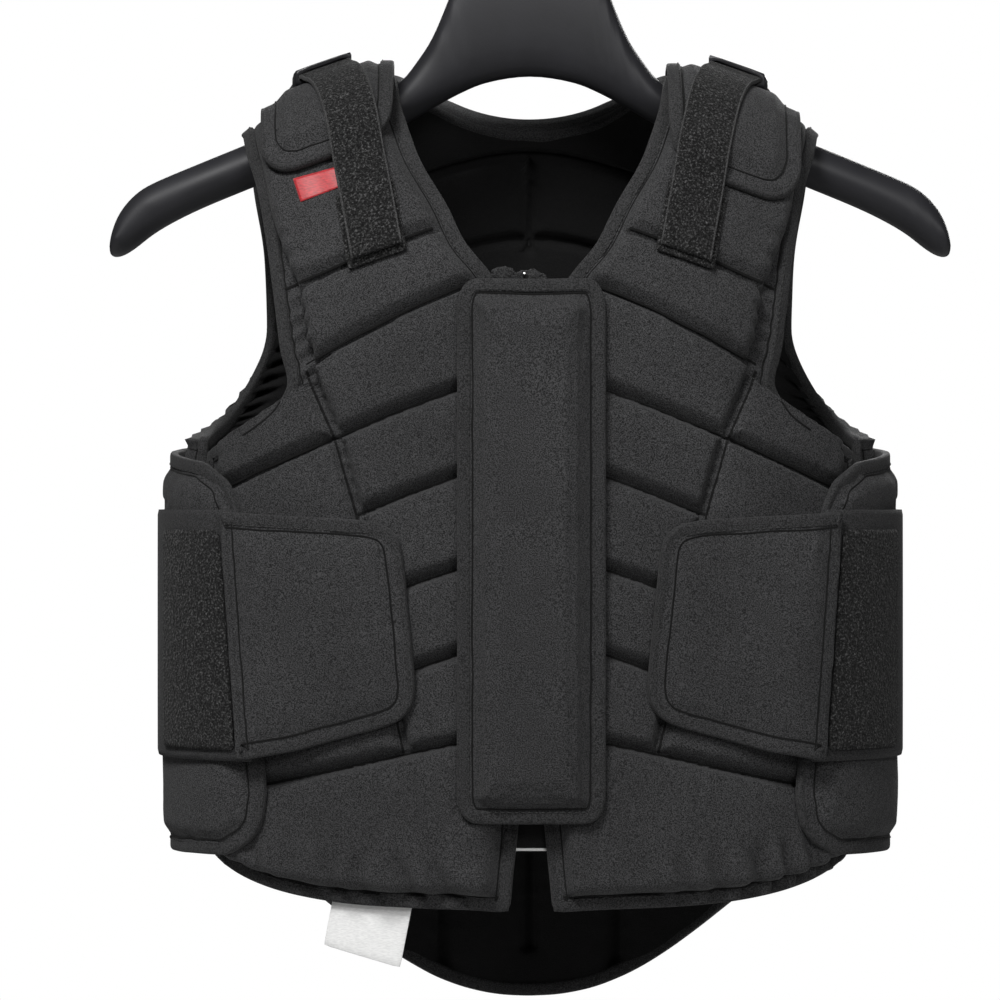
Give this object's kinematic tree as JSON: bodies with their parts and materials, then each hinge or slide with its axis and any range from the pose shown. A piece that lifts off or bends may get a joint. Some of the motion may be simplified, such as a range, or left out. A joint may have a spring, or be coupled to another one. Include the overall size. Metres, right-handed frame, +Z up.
{
  "type": "equestrian body protector on a clothes hanger",
  "caption": "Zipped foam-padded riding vest with shoulder straps and wrap-round side belts, hanging open-necked on a plain clothes hanger.",
  "frame": {"origin": "inner crest of the hanger's hook, where it hangs on a rail; hanger hook's inside at the top", "axes": "+Z up, -Y the front of the vest, +X the wearer's left"},
  "size_m": [0.448, 0.1941, 0.6446],
  "materials": {
    "cloth": "matte woven cover over foam",
    "loop_pile": "hook-and-loop pile",
    "webbing": "woven webbing",
    "hard_plastic": "satin moulded",
    "red_cloth": "woven label, plain",
    "white_satin": "satin label, blank",
    "steel": "bright wire"
  },
  "bodies": {
    "root": {"front_panel_left": "cloth", "front_panel_right": "cloth", "back_panel": "cloth", "side_wing_left": "cloth", "side_wing_right": "cloth", "belt_tab_left": "cloth", "belt_tab_right": "cloth", "shoulder_pad_left": "cloth", "shoulder_pad_right": "cloth", "front_placket": "cloth", "zip_guard": "cloth", "belt_loop_patch_left": "loop_pile", "belt_loop_patch_right": "loop_pile", "shoulder_strap_left": "loop_pile", "shoulder_strap_right": "loop_pile", "shoulder_loop_patch_left": "loop_pile", "shoulder_loop_patch_right": "loop_pile", "waist_belt_left": "webbing", "waist_belt_right": "webbing", "strap_slider_left": "hard_plastic", "strap_slider_right": "hard_plastic", "front_zip": "hard_plastic", "hanger_body": "hard_plastic", "chest_label": "red_cloth", "guard_edge": "white_satin", "care_label": "white_satin", "zip_pull": "steel", "hanger_hook": "steel"}
  },
  "joints": []
}
